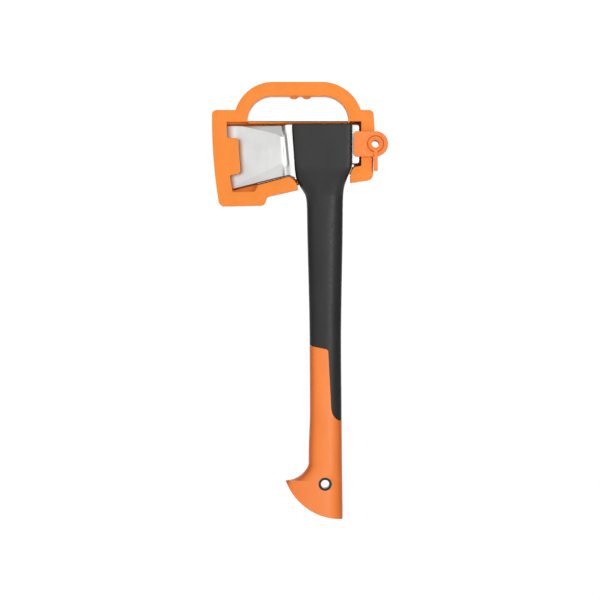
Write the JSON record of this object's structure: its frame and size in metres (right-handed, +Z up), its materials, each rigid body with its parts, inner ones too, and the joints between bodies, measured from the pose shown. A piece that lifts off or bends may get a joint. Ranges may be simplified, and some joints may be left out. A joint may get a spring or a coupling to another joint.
{
  "type": "short splitting axe in its carry guard",
  "caption": "Short splitting axe with a wedge head and hollow soft-grip handle, packed in an open blade guard with a grab handle and a turning latch.",
  "frame": {"origin": "middle of the grab handle's underside, where the packed axe hangs from a hook", "axes": "+Z up along the handle, the blade points to -X, the front cheek with the latch faces -Y"},
  "size_m": [0.1982, 0.0388, 0.4922],
  "materials": {
    "head_steel": "ground and clear lacquered, light grey",
    "core_plastic": "fine matt texture, near black",
    "grip_rubber": "soft matt orange",
    "guard_plastic": "satin orange",
    "latch_plastic": "satin orange, a little pinker than the guard"
  },
  "bodies": {
    "axe_in_guard": {"axe_head": "head_steel", "handle_core": "core_plastic", "core_end_plug": "core_plastic", "grip_overmould": "grip_rubber", "guard_frame": "guard_plastic"},
    "latch": {"latch_plate": "latch_plastic", "latch_lever": "latch_plastic", "latch_snap_ring": "latch_plastic"}
  },
  "joints": [
    {"name": "latch_swivel", "type": "hinge", "parent": "axe_in_guard", "child": "latch", "pos_m": [0.0841, 0, -0.0543], "axis": [0, -1, 0], "range_deg": [0, 160]}
  ]
}
